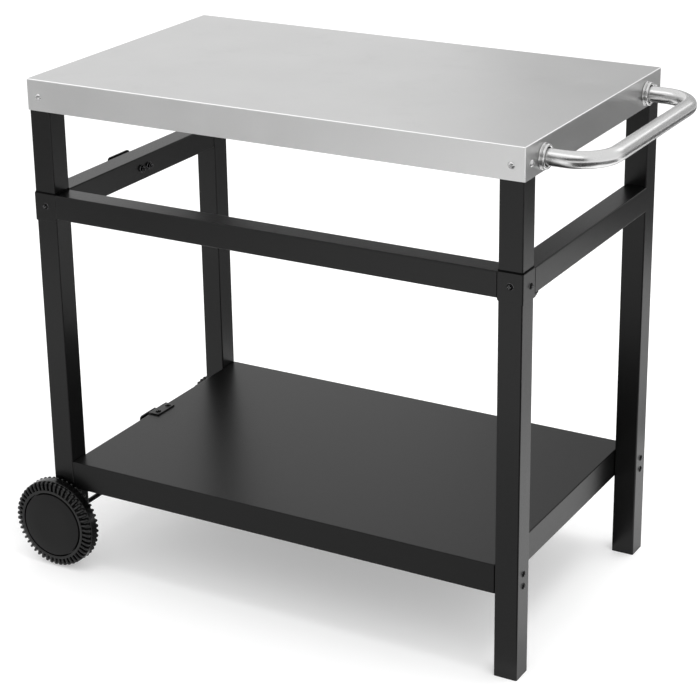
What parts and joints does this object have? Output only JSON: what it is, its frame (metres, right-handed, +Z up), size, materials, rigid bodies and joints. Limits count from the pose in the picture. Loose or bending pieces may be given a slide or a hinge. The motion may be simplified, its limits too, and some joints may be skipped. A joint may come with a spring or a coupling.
{
  "type": "rolling grill table",
  "caption": "Outdoor prep table with a folded stainless worktop, black square-tube frame, lower shelf, push handle, wheels at one end and hooks for a gas bottle.",
  "frame": {"origin": "on the floor, under the middle of the whole table's box", "axes": "+X runs from the wheels to the push handle, -Y is the long side with the front rail, +Z is up"},
  "size_m": [1.0126, 0.5566, 0.83],
  "materials": {
    "stainless_top": "fine brushed",
    "stainless_handle": "satin polished",
    "bright_bolts": "bright",
    "zinc": "zinc plated",
    "black_frame": "satin powder coat",
    "black_shelf": "fine powder coat",
    "black_bolts": "black plated",
    "black_plastic": "moulded",
    "wheel_plastic": "moulded",
    "hubcap_plastic": "fine grained"
  },
  "bodies": {
    "frame": {"top_panel": "stainless_top", "left_top_stiffener": "stainless_top", "right_top_stiffener": "stainless_top", "front_left_leg": "black_frame", "back_left_leg": "black_frame", "front_right_leg": "black_frame", "back_right_leg": "black_frame", "top_bolts": "bright_bolts", "top_inserts": "zinc", "front_rail": "black_frame", "left_rail": "black_frame", "right_rail": "black_frame", "front_left_collar": "black_frame", "front_right_collar": "black_frame", "collar_front_bolts": "black_bolts", "collar_front_inserts": "zinc", "collar_side_bolts": "black_bolts", "front_rail_plugs": "zinc", "rear_rail_bolts": "black_bolts", "side_rail_plugs": "zinc", "handle_tube": "stainless_handle", "front_handle_flange": "stainless_handle", "rear_handle_flange": "stainless_handle", "handle_end_plugs": "zinc", "handle_bolts": "zinc", "handle_washers": "zinc", "shelf_panel": "black_shelf", "left_shelf_stiffener": "black_shelf", "right_shelf_stiffener": "black_shelf", "shelf_bolts": "black_bolts", "shelf_nuts": "zinc", "front_left_leg_cap": "black_plastic", "back_left_leg_cap": "black_plastic", "front_right_foot": "black_plastic", "back_right_foot": "black_plastic", "axle": "black_bolts", "axle_washers": "zinc", "axle_nuts": "zinc", "upper_tank_hook": "black_frame", "upper_hook_bolts": "black_bolts", "upper_hook_nuts": "black_bolts", "lower_tank_hook": "black_frame", "lower_hook_bolts": "black_bolts", "lower_hook_nuts": "zinc"},
    "front_wheel_set": {"front_wheel": "wheel_plastic", "front_hubcap": "hubcap_plastic"},
    "back_wheel_set": {"back_wheel": "wheel_plastic", "back_hubcap": "hubcap_plastic"}
  },
  "joints": [
    {"name": "front_wheel_spin", "type": "hinge", "parent": "frame", "child": "front_wheel_set", "pos_m": [-0.43015, -0.264, 0.0762], "axis": [0, 1, 0], "continuous": true},
    {"name": "back_wheel_spin", "type": "hinge", "parent": "frame", "child": "back_wheel_set", "pos_m": [-0.43015, 0.264, 0.0762], "axis": [0, 1, 0], "continuous": true}
  ]
}
